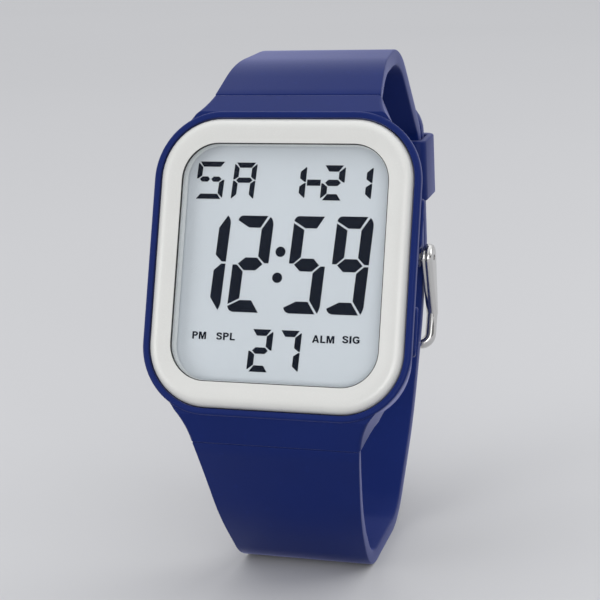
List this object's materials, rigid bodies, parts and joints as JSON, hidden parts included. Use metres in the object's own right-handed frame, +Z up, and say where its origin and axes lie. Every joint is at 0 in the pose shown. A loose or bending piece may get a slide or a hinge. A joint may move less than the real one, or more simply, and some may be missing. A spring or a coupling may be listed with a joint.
{
  "type": "digital wristwatch",
  "caption": "Rectangular digital wristwatch: resin case, light bezel, liquid-crystal display, side buttons, closed resin strap with keeper and tang buckle, standing on the strap.",
  "frame": {"origin": "middle of the footprint of the standing watch, on the floor under its strap", "axes": "+X towards three o'clock, -Y the side that the face looks to, +Z up; the face leans back 20 degrees from upright"},
  "size_m": [0.0372, 0.0574, 0.0709],
  "materials": {
    "resin_navy": "satin resin",
    "bezel_silver": "pearl silver, satin",
    "clear_glass": "polished",
    "black_rubber": "matte",
    "film_reflecting": "satin",
    "display_glass": "polished",
    "display_dark": "matte",
    "connector_rubber": "matte",
    "module_white": "moulded",
    "guide_clear": "polished",
    "diode_cream": "moulded",
    "board_green": "lacquered",
    "epoxy_black": "cast",
    "steel": "brushed",
    "brass": "polished",
    "chrome": "polished",
    "capacitor_tan": "fired",
    "insulator_amber": "film"
  },
  "bodies": {
    "watch": {"battery": "steel", "battery_clamp": "steel", "battery_contact": "brass", "bezel": "bezel_silver", "button_seals": "black_rubber", "button_spring_lower_left": "steel", "button_spring_lower_right": "steel", "button_spring_upper_left": "steel", "button_spring_upper_right": "steel", "buzzer_disc": "brass", "buzzer_spring": "brass", "capacitors": "capacitor_tan", "case": "resin_navy", "case_back": "steel", "case_back_gasket": "black_rubber", "case_back_screws": "steel", "chip_cover": "epoxy_black", "circuit_board": "board_green", "contact_strips": "brass", "date_digits": "display_dark", "display_front_film": "clear_glass", "display_front_glass": "display_glass", "display_rear_film": "film_reflecting", "display_rear_glass": "display_glass", "insulator": "insulator_amber", "lens": "clear_glass", "lens_gasket": "black_rubber", "light_diode": "diode_cream", "light_guide": "guide_clear", "long_strap": "resin_navy", "module_frame": "module_white", "quartz_crystal": "steel", "seconds_digits": "display_dark", "short_strap": "resin_navy", "spring_bar_springs": "steel", "spring_bar_tips": "steel", "spring_bar_tubes": "steel", "time_digits": "display_dark", "zebra_strips": "connector_rubber"},
    "buckle_frame": {"buckle_frame": "chrome"},
    "buckle_tongue": {"buckle_tongue": "chrome"},
    "keeper": {"keeper": "resin_navy"},
    "button_upper_right": {"button_upper_right": "resin_navy", "button_clip_upper_right": "steel"},
    "button_lower_right": {"button_lower_right": "resin_navy", "button_clip_lower_right": "steel"},
    "button_upper_left": {"button_upper_left": "resin_navy", "button_clip_upper_left": "steel"},
    "button_lower_left": {"button_lower_left": "resin_navy", "button_clip_lower_left": "steel"}
  },
  "joints": [
    {"name": "press_upper_right", "type": "slide", "parent": "watch", "child": "button_upper_right", "axis": [-1, 0, 0], "range_m": [0, 0.0005], "stiffness_N_per_m": 600, "springref_m": -0.0003, "deforming": ["button_spring_upper_right"]},
    {"name": "press_lower_right", "type": "slide", "parent": "watch", "child": "button_lower_right", "axis": [-1, 0, 0], "range_m": [0, 0.0005], "stiffness_N_per_m": 600, "springref_m": -0.0003, "deforming": ["button_spring_lower_right"]},
    {"name": "press_upper_left", "type": "slide", "parent": "watch", "child": "button_upper_left", "axis": [1, 0, 0], "range_m": [0, 0.0005], "stiffness_N_per_m": 600, "springref_m": -0.0003, "deforming": ["button_spring_upper_left"]},
    {"name": "press_lower_left", "type": "slide", "parent": "watch", "child": "button_lower_left", "axis": [1, 0, 0], "range_m": [0, 0.0005], "stiffness_N_per_m": 600, "springref_m": -0.0003, "deforming": ["button_spring_lower_left"]},
    {"name": "buckle_swing", "type": "hinge", "parent": "watch", "child": "buckle_frame", "pos_m": [0, 0.02295, 0.03677], "axis": [1, 0, 0], "range_deg": [0, 6]},
    {"name": "tongue_swing", "type": "hinge", "parent": "buckle_frame", "child": "buckle_tongue", "pos_m": [0, 0.02295, 0.03677], "axis": [1, 0, 0], "range_deg": [0, 6]},
    {"name": "keeper_slide", "type": "slide", "parent": "watch", "child": "keeper", "axis": [0, 0.0489, -0.9988], "range_m": [0, 0.004]}
  ]
}
